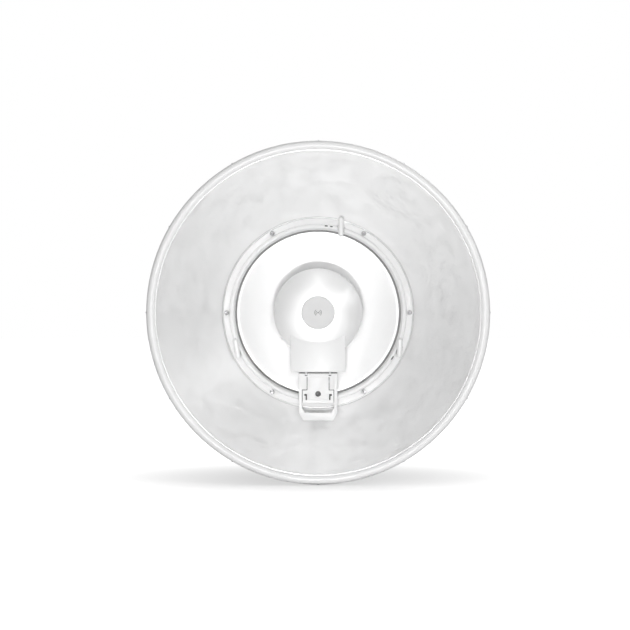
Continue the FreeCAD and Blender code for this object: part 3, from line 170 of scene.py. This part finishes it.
class Shader:
    """Small helper that adds nodes and joins them by name."""

    def __init__(self, name):
        self.material = bpy.data.materials.new(name)
        self.material.use_nodes = True
        self.tree = self.material.node_tree
        self.tree.nodes.clear()
        self.output = self.tree.nodes.new("ShaderNodeOutputMaterial")
        self.surface = self.tree.nodes.new("ShaderNodeBsdfPrincipled")
        self.join(self.surface, "BSDF", self.output, "Surface")
        coordinates = self.tree.nodes.new("ShaderNodeTexCoord")
        self.place = coordinates.outputs["Object"]

    def join(self, source, output, target, socket):
        self.tree.links.new(source.outputs[output], target.inputs[socket])

    def node(self, kind, settings=None, **values):
        made = self.tree.nodes.new(kind)
        for key, value in (settings or {}).items():
            setattr(made, key, value)
        for key, value in values.items():
            made.inputs[key.replace("_", " ")].default_value = value
        return made

    def noise(self, size, detail=3.0, stretch=None):
        """Noise whose features are about this many metres across."""
        made = self.node("ShaderNodeTexNoise", Scale=1.0 / size, Detail=detail)
        place = self.place
        if stretch:
            mapping = self.node("ShaderNodeMapping", Scale=stretch)
            self.tree.links.new(place, mapping.inputs["Vector"])
            place = mapping.outputs["Vector"]
        self.tree.links.new(place, made.inputs["Vector"])
        return made.outputs["Fac"]

    def ramp(self, source, low, high, from_low=NOISE_LOW, from_high=NOISE_HIGH):
        """Value between low and high as the source goes between two levels."""
        made = self.node("ShaderNodeMapRange", From_Min=from_low, From_Max=from_high,
                         To_Min=low, To_Max=high)
        self.tree.links.new(source, made.inputs["Value"])
        return made.outputs["Result"]

    def mix(self, amount, first, second):
        """The first colour where the amount is 0, the second where it is 1."""
        made = self.node("ShaderNodeMix", {"data_type": "RGBA"})
        self.tree.links.new(amount, made.inputs["Factor"])
        for name, value in (("A", first), ("B", second)):
            target = colour_socket(made.inputs, name)
            if isinstance(value, bpy.types.NodeSocket):
                self.tree.links.new(value, target)
            else:
                target.default_value = (*value, 1.0)
        return colour_socket(made.outputs)

    def bump(self, height, distance, strength=1.0, under=None):
        made = self.node("ShaderNodeBump", Strength=strength, Distance=distance)
        self.tree.links.new(height, made.inputs["Height"])
        if under:
            self.tree.links.new(under, made.inputs["Normal"])
        return made.outputs["Normal"]

    def spun(self, amount, metallic):
        """Metallic paint on a piece spun about the Y axis: highlights fan out from the middle."""
        split = self.node("ShaderNodeSeparateXYZ")
        self.tree.links.new(self.place, split.inputs["Vector"])
        outward = self.node("ShaderNodeCombineXYZ")
        self.join(split, "X", outward, "X")
        self.join(split, "Z", outward, "Z")
        turned = self.node("ShaderNodeVectorTransform", {
            "vector_type": "VECTOR", "convert_from": "OBJECT", "convert_to": "WORLD"})
        self.join(outward, "Vector", turned, "Vector")
        self.join(turned, "Vector", self.surface, "Tangent")
        self.set("Anisotropic", amount)
        self.set("Metallic", metallic)
        return outward

    def roughen(self, source, rough, spread):
        """Roughness that wanders a little below and above its plain value."""
        below, above = spread
        self.set("Roughness", self.ramp(source, rough - below, rough + above))

    def edges(self):
        """1 on worn convex edges, 0 on flat stretches."""
        geometry = self.node("ShaderNodeNewGeometry")
        return self.ramp(geometry.outputs["Pointiness"], 0.0, 1.0, WORN_LOW, WORN_HIGH)

    def with_painted_shade(self, base, reach, shade_of):
        """Painted shade: darkens a colour in slits, gaps and corners that are narrower than the
        reach.
        """
        opened = self.node("ShaderNodeAmbientOcclusion", {"samples": PAINTED_SHADE_SAMPLES},
                           Distance=reach)
        painted_dark = self.node("ShaderNodeMix", {"data_type": "RGBA", "blend_type": "MULTIPLY"},
                          Factor=1.0)
        self.tree.links.new(base, colour_socket(painted_dark.inputs, "A"))
        colour_socket(painted_dark.inputs, "B").default_value = (shade_of, shade_of, shade_of, 1.0)
        unshaded = self.ramp(opened.outputs["AO"], 0.0, 1.0, PAINTED_SHADE_FULL, PAINTED_SHADE_NONE)
        return self.mix(unshaded, colour_socket(painted_dark.outputs), base)

    def set(self, socket, value):
        target = self.surface.inputs[socket]
        if isinstance(value, bpy.types.NodeSocket):
            self.tree.links.new(value, target)
        else:
            target.default_value = value


def tinted(colour, factor):
    return tuple(min(1.0, part * factor) for part in colour)


def moulded(name, colour, rough=0.42, grain=0.9 * MM, depth=0.012 * MM, mottle=0.03, wear=0.05,
            metallic=0.0, reach=3.5 * MM, painted_shade=0.45):
    """Moulded plastic: fine sparked grain, faint flow mottling, edges rubbed a little paler, and
    painted shade in gaps and corners.
    """
    shader = Shader(name)
    patches = shader.ramp(shader.noise(FLOW_PATCH, detail=4.0), 0.0, 1.0)
    base = shader.mix(patches, tinted(colour, 1 - mottle), colour)
    worn = shader.mix(shader.edges(), base, tinted(colour, 1 + wear))
    # The base colour carries painted shade in gaps and corners.
    shader.set("Base Color", shader.with_painted_shade(worn, reach, painted_shade))
    shader.roughen(shader.noise(FLOW_SHEEN, detail=5.0), rough, FLOW_SHEEN_SPREAD)
    flow = shader.bump(shader.noise(FLOW_WAVE, detail=2.0), FLOW_DEPTH, strength=0.25)
    sparks = shader.noise(grain, detail=2.0)
    shader.set("Normal", shader.bump(sparks, depth, strength=0.8, under=flow))
    shader.set("Specular IOR Level", 0.5)
    if metallic:
        shader.spun(MOULDED_SPUN, metallic)
    return shader.material


def powder_coat(name, colour, rough, ring_pitch, metallic):
    """Pearl powder coat on spun sheet: orange peel, faint rings where it was spun, and painted
    shade in gaps and corners.
    """
    shader = Shader(name)
    patches = shader.ramp(shader.noise(COAT_PATCH, detail=5.0), 0.0, 1.0)
    base = shader.mix(patches, tinted(colour, COAT_MOTTLE), colour)
    worn = shader.mix(shader.edges(), base, tinted(colour, COAT_WEAR))
    # The base colour carries painted shade in gaps and corners.
    shader.set("Base Color", shader.with_painted_shade(worn, COAT_REACH, COAT_PAINTED_SHADE))
    shader.roughen(shader.noise(COAT_SHEEN, detail=6.0), rough, COAT_SHEEN_SPREAD)
    peel = shader.bump(shader.noise(COAT_PEEL, detail=2.0), COAT_PEEL_DEPTH, strength=0.8)
    outward = shader.spun(COAT_SPUN, metallic)
    radius = shader.node("ShaderNodeVectorMath", {"operation": "LENGTH"})
    shader.join(outward, "Vector", radius, "Vector")
    rings = shader.node("ShaderNodeTexNoise", {"noise_dimensions": "1D"},
                        Scale=1.0 / ring_pitch, Detail=2.0)
    shader.join(radius, "Value", rings, "W")
    shader.set("Normal", shader.bump(rings.outputs["Fac"], COAT_RING_DEPTH,
                                     strength=0.3, under=peel))
    return shader.material


def metal(name, colour, rough, stretch=(1, 1, 1)):
    """Bare or plated metal: brushed scratches, tarnish in patches and bright edges."""
    shader = Shader(name)
    patches = shader.ramp(shader.noise(TARNISH_PATCH, detail=5.0), 0.0, 1.0)
    base = shader.mix(patches, tinted(colour, TARNISH), colour)
    shader.set("Base Color", shader.mix(shader.edges(), base, tinted(colour, METAL_WEAR)))
    shader.set("Metallic", 1.0)
    lines = shader.noise(SCRATCH_WIDTH, detail=4.0, stretch=stretch)
    shader.roughen(lines, rough, SCRATCH_SHEEN_SPREAD)
    shader.set("Normal", shader.bump(lines, SCRATCH_DEPTH, strength=0.6))
    return shader.material


def rubber(name, colour):
    """Grey seal rubber with paler dust on it."""
    shader = Shader(name)
    dust = shader.ramp(shader.noise(RUBBER_DUST, detail=5.0), 0.0, 1.0)
    shader.set("Base Color", shader.mix(dust, colour, tinted(colour, RUBBER_DUST_TINT)))
    shader.set("Roughness", shader.ramp(shader.noise(SMALL_PATCH), low=0.66, high=0.85))
    shader.set("Normal", shader.bump(shader.noise(RUBBER_GRAIN), FINE_DEPTH, strength=0.7))
    return shader.material


def circuit_board(name, colour):
    """Solder mask over a grid of tracks, with the glass weave just showing."""
    shader = Shader(name)
    tracks = shader.node("ShaderNodeTexBrick", Scale=1.0 / TRACK_PITCH, Mortar_Size=TRACK_GAP)
    shader.tree.links.new(shader.place, tracks.inputs["Vector"])
    track = tracks.outputs["Fac"]
    shader.set("Base Color", shader.mix(track, colour, tinted(colour, TRACK_TINT)))
    shader.set("Roughness", shader.ramp(shader.noise(BOARD_PATCH), low=0.28, high=0.42))
    threads = shader.noise(WEAVE_PITCH, detail=2.0, stretch=WEAVE_STRETCH)
    weave = shader.bump(threads, WEAVE_DEPTH, strength=0.6)
    shader.set("Normal", shader.bump(track, TRACK_HEIGHT, under=weave))
    return shader.material


def clear_plastic(name, colour):
    """Frosted clear plastic for the light pipes."""
    shader = Shader(name)
    shader.set("Base Color", (*colour, 1.0))
    shader.set("Transmission Weight", FROST_CLEAR)
    shader.set("Roughness", shader.ramp(shader.noise(SMALL_PATCH), low=0.18, high=0.4))
    shader.set("Normal", shader.bump(shader.noise(FROST_GRAIN), FINE_DEPTH, strength=0.6))
    return shader.material


COARSE = {"grain": 1.1 * MM, "depth": 0.03 * MM}

# Finish name: how it is made, the record's colour and its tint, and what differs from plain.
# Moulded and powder-coat finishes darken their gaps and corners with painted shade; the smaller
# its number, the darker it is.
RECIPES = {
    "bracket_plastic": (moulded, "bracket_plastic", 1.0, {"rough": 0.45, **COARSE}),
    "swivel_plastic": (moulded, "swivel_plastic", 1.0, {"rough": 0.45, **COARSE}),
    "knob_plastic": (moulded, "knob_plastic", 1.0, {
        "rough": 0.5, "grain": 0.7 * MM, "depth": 0.05 * MM, "mottle": 0.15, "wear": 0.5}),
    "stainless": (metal, "stainless", 1.0, {"rough": 0.3, "stretch": ACROSS_Z}),
    "plated_steel": (metal, "plated_steel", 1.0, {"rough": 0.34}),
    "hub_casting": (moulded, "hub_casting", 1.0, {
        "rough": 0.45, "grain": 1.2 * MM, "depth": 0.03 * MM}),
    "dish_paint": (powder_coat, "dish_paint", 0.93, {
        "rough": 0.46, "ring_pitch": 1.1 * MM, "metallic": 0.72}),
    "shroud_paint": (powder_coat, "shroud_paint", 1.0, {
        "rough": 0.47, "ring_pitch": 2.4 * MM, "metallic": 0.58}),
    "trim_white": (moulded, "trim_white", 1.16, {
        "rough": 0.34, "grain": 1.4 * MM, "depth": 0.006 * MM, "mottle": 0.012}),
    # Dark painted shade in the gap round the dish.
    "ring_plastic": (moulded, "ring_plastic", 1.08, {"rough": 0.4, "painted_shade": 0.12}),
    "clip_plastic": (moulded, "clip_plastic", 1.0, {
        "rough": 0.32, "grain": 1.2 * MM, "depth": 0.006 * MM}),
    "dome_plastic": (moulded, "dome_plastic", 1.0, {
        "rough": 0.46, "grain": 0.8 * MM, "depth": 0.01 * MM, "mottle": 0.015, "metallic": 0.6}),
    "badge_grey": (moulded, "badge_grey", 1.12, {
        "rough": 0.55, "grain": 0.5 * MM, "depth": 0.012 * MM, "mottle": 0.02}),
    "badge_mark": (moulded, "badge_grey", 0.25, {
        "rough": 0.4, "grain": 0.5 * MM, "depth": 0.01 * MM, "mottle": 0.02}),
    "arm_plastic": (moulded, "arm_plastic", 1.12, {
        "rough": 0.38, "grain": 0.8 * MM, "depth": 0.01 * MM, "mottle": 0.02,
        "reach": 9 * MM, "painted_shade": 0.2}),
    "cover_plastic": (moulded, "cover_plastic", 1.12, {
        "rough": 0.4, "grain": 0.8 * MM, "mottle": 0.02, "painted_shade": 0.15}),
    # Very dark painted shade, reaching 16 mm, over the plate deep in the bay.
    "bay_plate": (moulded, "cover_plastic", 1.0, {
        "rough": 0.45, "grain": 0.8 * MM, "mottle": 0.02, "reach": 16 * MM, "painted_shade": 0.08}),
    "ring_screws": (metal, "stainless", 0.5, {"rough": 0.35, "stretch": ACROSS_Y}),
    "seal_rubber": (rubber, "seal_rubber", 1.0, {}),
    "board_green": (circuit_board, "board_green", 1.0, {}),
    "tinplate": (metal, "tinplate", 1.0, {"rough": 0.28}),
    "gold_contact": (metal, "gold_contact", 1.0, {"rough": 0.2}),
    "jack_black": (moulded, "jack_black", 1.0, {
        "rough": 0.4, "grain": 0.5 * MM, "depth": 0.02 * MM, "mottle": 0.2, "wear": 1.5}),
    "light_pipe": (clear_plastic, "light_pipe", 1.0, {}),
    "button_grey": (moulded, "button_grey", 1.0, {
        "rough": 0.45, "grain": 0.5 * MM, "depth": 0.02 * MM, "mottle": 0.08, "wear": 0.3}),
    "ground_brass": (metal, "ground_brass", 1.0, {"rough": 0.3}),
}


def make_finishes():
    return {name: recipe(name, tinted(BASE_COLOUR[slot], tint), **details)
            for name, (recipe, slot, tint, details) in RECIPES.items()}


# ---------------------------------------------------------------- mesh helpers

SMOOTH_ANGLE = math.radians(32)
BEVEL_ANGLE = math.radians(34)
BEVEL_SEGMENTS = 2
WELD_DISTANCE = 0.002 * MM
FLAT_ANGLE = math.radians(1.0)
TURN_STEPS = 288


def linked(name, mesh):
    piece = bpy.data.objects.new(name, mesh)
    bpy.context.scene.collection.objects.link(piece)
    return piece


def shade(mesh):
    mesh.polygons.foreach_set("use_smooth", [True] * len(mesh.polygons))
    mesh.set_sharp_from_angle(angle=SMOOTH_ANGLE)


def mesh_of(made, name):
    """Turns a bmesh into a mesh and frees it."""
    mesh = bpy.data.meshes.new(name)
    made.to_mesh(mesh)
    made.free()
    return mesh


def bevelled(piece, width):
    """Rounds every sharp edge over by the given width."""
    modifier = piece.modifiers.new("rounding", "BEVEL")
    modifier.width = width
    modifier.segments = BEVEL_SEGMENTS
    modifier.limit_method = "ANGLE"
    modifier.angle_limit = BEVEL_ANGLE
    modifier.use_clamp_overlap = True
    modifier.miter_outer = "MITER_ARC"
    graph = bpy.context.evaluated_depsgraph_get()
    mesh = bpy.data.meshes.new_from_object(piece.evaluated_get(graph))
    piece.modifiers.clear()
    old = piece.data
    piece.data = mesh
    bpy.data.meshes.remove(old)
    shade(mesh)
    return piece


def softened(node, width):
    """Copy of a CAD node's mesh with its sharp edges rounded over."""
    made = bmesh.new()
    made.from_mesh(frame["nodes"][node].data)
    bmesh.ops.remove_doubles(made, verts=made.verts, dist=WELD_DISTANCE)
    bmesh.ops.dissolve_limit(made, angle_limit=FLAT_ANGLE, verts=made.verts, edges=made.edges)
    name = node + "_soft"
    return bevelled(linked(name, mesh_of(made, name)), width)


def finish_piece(piece, material, node):
    """Gives the piece its material and the body of the node it stands for, and hides that node.
    """
    piece.data.materials.clear()
    piece.data.materials.append(material)
    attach(piece, BODY_OF[node])
    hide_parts(node)


def lathe(name, outline):
    """Turns (radius, y) points about the Y axis; a point on the axis becomes one vertex."""
    made = bmesh.new()
    rings = []
    for radius, y in outline:
        if radius == 0.0:
            rings.append([made.verts.new((0, y, 0))])
            continue
        turns = [2 * math.pi * step / TURN_STEPS for step in range(TURN_STEPS)]
        rings.append([made.verts.new((radius * math.cos(turn), y, radius * math.sin(turn)))
                      for turn in turns])
    for first, second in zip(rings, rings[1:]):
        for step in range(TURN_STEPS):
            following = (step + 1) % TURN_STEPS
            corners = [first[step % len(first)], first[following % len(first)],
                       second[following % len(second)], second[step % len(second)]]
            made.faces.new(list(dict.fromkeys(corners)))
    bmesh.ops.recalc_face_normals(made, faces=made.faces)
    mesh = mesh_of(made, name)
    shade(mesh)
    return linked(name, mesh)


# ---------------------------------------------------------------- badge

BADGE_DISHED = 0.12 * MM
BADGE_EDGE = 0.35 * MM
BADGE_FACE_SHARES = (0.0, 0.4, 0.8)
BADGE_EDGE_TURNS = (0, 30, 60, 90)
MARK_DOT_R = 0.9 * MM
MARK_ARCS = (2.4 * MM, 3.9 * MM)
MARK_HALF_WIDTH = 0.32 * MM
MARK_HALF_SPREAD = math.radians(52)
MARK_SINK = 0.1 * MM
MARK_PROUD = 0.05 * MM
MARK_STEPS = 20


def sink_mark(made, front_y, outline):
    """Adds a thin closed prism, from an outline in X and Z, just proud of the badge."""
    back = [made.verts.new((x, front_y + MARK_SINK, z)) for x, z in outline]
    front = [made.verts.new((x, front_y - MARK_PROUD, z)) for x, z in outline]
    made.faces.new(back)
    made.faces.new(front[::-1])
    count = len(outline)
    for index in range(count):
        following = (index + 1) % count
        made.faces.new([back[index], front[index], front[following], back[following]])


def arc_points(radius, middle_z, turns):
    return [(radius * math.cos(turn), middle_z + radius * math.sin(turn)) for turn in turns]


def make_badge_disc():
    """Disc with a soft edge and a face that is hollowed a little towards the middle."""
    low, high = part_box("feed_badge")
    radius = (high.x - low.x) / 2
    outline = [(radius * share, low.y + BADGE_DISHED * (1 - share ** 2))
               for share in BADGE_FACE_SHARES]
    outline += [(radius - BADGE_EDGE * (1 - math.sin(turn)),
                 low.y + BADGE_EDGE * (1 - math.cos(turn)))
                for turn in map(math.radians, BADGE_EDGE_TURNS)]
    outline += [(radius, high.y), (0.0, high.y)]
    return lathe("feed_badge_disc", outline)


def make_badge_mark():
    """Small plain mark: a dot with two arcs on each side."""
    low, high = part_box("feed_badge")
    middle_z = (high.z + low.z) / 2
    made = bmesh.new()
    around = [2 * math.pi * step / MARK_STEPS for step in range(MARK_STEPS)]
    sink_mark(made, low.y + BADGE_DISHED, arc_points(MARK_DOT_R, middle_z, around))
    for side in (0.0, math.pi):
        turns = [side - MARK_HALF_SPREAD + 2 * MARK_HALF_SPREAD * step / MARK_STEPS
                 for step in range(MARK_STEPS + 1)]
        for radius in MARK_ARCS:
            arc = arc_points(radius + MARK_HALF_WIDTH, middle_z, turns)
            arc += arc_points(radius - MARK_HALF_WIDTH, middle_z, turns[::-1])
            sink_mark(made, low.y + BADGE_DISHED, arc)
    bmesh.ops.recalc_face_normals(made, faces=made.faces)
    mesh = mesh_of(made, "badge_mark")
    shade(mesh)
    return linked("badge_mark", mesh)


# ---------------------------------------------------------------- stage and lights

FLOOR_HALF = 14.0
FLOOR_SQUARES = 8
FLOOR_DROP = 0.6 * MM
# The shadow shows whole within the first radius of this spot, and not at all past the second.
FLOOR_SHADE_Y = -0.12
FLOOR_CLEAR_R = 0.17
FLOOR_FADE_R = 0.36
# Glow seen by the camera near the rim, paper's own white, and glow that lights the object.
FLOOR_GLOW = 0.33
FLOOR_PAPER = 0.55
FLOOR_BOUNCE = 0.05
# Sockets of a mix node that mixes plain numbers.
MIX_FACTOR, MIX_A, MIX_B = 0, 2, 3


def make_floor():
    """White paper under the rim: it takes a soft shadow, and is plain white further out."""
    made = bmesh.new()
    bmesh.ops.create_grid(made, x_segments=FLOOR_SQUARES, y_segments=FLOOR_SQUARES,
                          size=FLOOR_HALF)
    bmesh.ops.translate(made, verts=made.verts, vec=(0, 0, cad_bounds[0].z - FLOOR_DROP))
    floor = linked("floor", mesh_of(made, "floor"))
    floor.location.y = FLOOR_SHADE_Y
    shader = Shader("floor_paper")
    links = shader.tree.links
    paper = shader.node("ShaderNodeBsdfDiffuse",
                        Color=(FLOOR_PAPER, FLOOR_PAPER, FLOOR_PAPER, 1.0))
    distance = shader.node("ShaderNodeVectorMath", {"operation": "LENGTH"})
    links.new(shader.place, distance.inputs["Vector"])
    seen = shader.ramp(distance.outputs["Value"], FLOOR_GLOW, 1.0, FLOOR_CLEAR_R, FLOOR_FADE_R)
    path = shader.node("ShaderNodeLightPath")
    strength = shader.node("ShaderNodeMix", {"data_type": "FLOAT"})
    links.new(path.outputs["Is Camera Ray"], strength.inputs[MIX_FACTOR])
    strength.inputs[MIX_A].default_value = FLOOR_BOUNCE
    links.new(seen, strength.inputs[MIX_B])
    glow = shader.node("ShaderNodeEmission")
    links.new(strength.outputs[0], glow.inputs["Strength"])
    both = shader.node("ShaderNodeAddShader")
    links.new(paper.outputs["BSDF"], both.inputs[0])
    links.new(glow.outputs["Emission"], both.inputs[1])
    links.new(both.outputs[0], shader.output.inputs["Surface"])
    floor.data.materials.append(shader.material)


WORLD_STRENGTH = 0.42
WORLD_SWING = 0.15
WORLD_BRIGHT_ANGLE = math.radians(58)
WORLD_FRONT_LOSS = 0.9
WORLD_FRONT_FALLOFF = 0.3
WHITE = (1, 1, 1, 1)


def make_world():
    """White to the camera; as a light, dim in front and brighter to the sides and behind.

    Round the Y axis it is a little brighter along one slanting line than across it.
    """
    world = bpy.data.worlds.new("studio")
    world.use_nodes = True
    tree = world.node_tree
    tree.nodes.clear()

    def calculated(operation, first, second):
        made = tree.nodes.new("ShaderNodeMath")
        made.operation = operation
        for index, value in enumerate((first, second)):
            if isinstance(value, bpy.types.NodeSocket):
                tree.links.new(value, made.inputs[index])
            else:
                made.inputs[index].default_value = value
        return made.outputs["Value"]

    output = tree.nodes.new("ShaderNodeOutputWorld")
    seen = tree.nodes.new("ShaderNodeBackground")
    seen.inputs["Color"].default_value = WHITE
    lit = tree.nodes.new("ShaderNodeBackground")
    lit.inputs["Color"].default_value = WHITE
    direction = tree.nodes.new("ShaderNodeTexCoord")
    split = tree.nodes.new("ShaderNodeSeparateXYZ")
    tree.links.new(direction.outputs["Generated"], split.inputs["Vector"])
    x, y, z = (split.outputs[axis] for axis in "XYZ")
    double_angle = 2 * WORLD_BRIGHT_ANGLE
    squares = calculated("SUBTRACT", calculated("MULTIPLY", x, x), calculated("MULTIPLY", z, z))
    along = calculated("MULTIPLY", squares, math.cos(double_angle))
    product = calculated("MULTIPLY", x, z)
    across = calculated("MULTIPLY", product, 2 * math.sin(double_angle))
    swing = calculated("MULTIPLY", calculated("ADD", along, across), WORLD_SWING)
    around = calculated("MULTIPLY", calculated("ADD", swing, 1.0), WORLD_STRENGTH)
    in_front = calculated("MAXIMUM", calculated("MULTIPLY", y, -1.0), 0.0)
    nearness = calculated("POWER", in_front, WORLD_FRONT_FALLOFF)
    loss = calculated("MULTIPLY", nearness, -WORLD_FRONT_LOSS)
    strength = calculated("MULTIPLY", around, calculated("ADD", loss, 1.0))
    tree.links.new(strength, lit.inputs["Strength"])
    path = tree.nodes.new("ShaderNodeLightPath")
    mix = tree.nodes.new("ShaderNodeMixShader")
    tree.links.new(path.outputs["Is Camera Ray"], mix.inputs["Fac"])
    tree.links.new(lit.outputs["Background"], mix.inputs[1])
    tree.links.new(seen.outputs["Background"], mix.inputs[2])
    tree.links.new(mix.outputs["Shader"], output.inputs["Surface"])
    bpy.context.scene.world = world


# Name, place, width, height and power of each area light.
SOFTBOXES = [
    ("softbox_front", (0.0, -2.4, 0.05), 0.5, 0.5, 9.6),
    ("softbox_top", (0.0, -1.48, 1.6), 0.7, 0.7, 2.6),
    ("softbox_right", (1.39, -1.48, 0.80), 0.5, 0.5, 4.2),
    ("softbox_rear", (0.6, 1.7, 1.4), 1.4, 1.0, 12.0),
    ("card_low", (-0.01, -1.25, -0.16), 0.08, 0.05, 3.7),
]


def make_softbox(name, place, width, height, power):
    """Area light that faces the middle of the dish."""
    data = bpy.data.lights.new(name, "AREA")
    data.shape = "RECTANGLE"
    data.size = width
    data.size_y = height
    data.energy = power
    light = bpy.data.objects.new(name, data)
    light.location = place
    light.visible_camera = False
    target = Vector((0, RIM_Y, 0))
    light.rotation_euler = (target - Vector(place)).to_track_quat("-Z", "Y").to_euler()
    bpy.context.scene.collection.objects.link(light)


def make_studio():
    make_floor()
    make_world()
    for softbox in SOFTBOXES:
        make_softbox(*softbox)
    bpy.context.scene.view_settings.view_transform = "Standard"


# ---------------------------------------------------------------- build

ROUNDING = {"shroud": 0.5 * MM, "arm_front_cover": 1.3 * MM, "arm_rear_housing": 0.5 * MM,
            "pole_bracket": 0.8 * MM, "swivel_block": 0.6 * MM, "rear_hub": 0.6 * MM,
            "port_cover": 0.35 * MM, "release_tongue": 0.25 * MM, "jack_contacts": 0.05 * MM,
            "pole_strap": 0.15 * MM, "rim_trim": 0.25 * MM, "feed_patch": 0.1 * MM}
ROUNDING_ELSE = 0.3 * MM

make_camera()
FINISHES = make_finishes()

for node in frame["nodes"]:
    if node != "feed_badge":
        finish = FINISHES.get(node, FINISHES[SLOT_OF[node]])
        finish_piece(softened(node, ROUNDING.get(node, ROUNDING_ELSE)), finish, node)

finish_piece(make_badge_disc(), FINISHES["badge_grey"], "feed_badge")
finish_piece(make_badge_mark(), FINISHES["badge_mark"], "feed_badge")

make_studio()
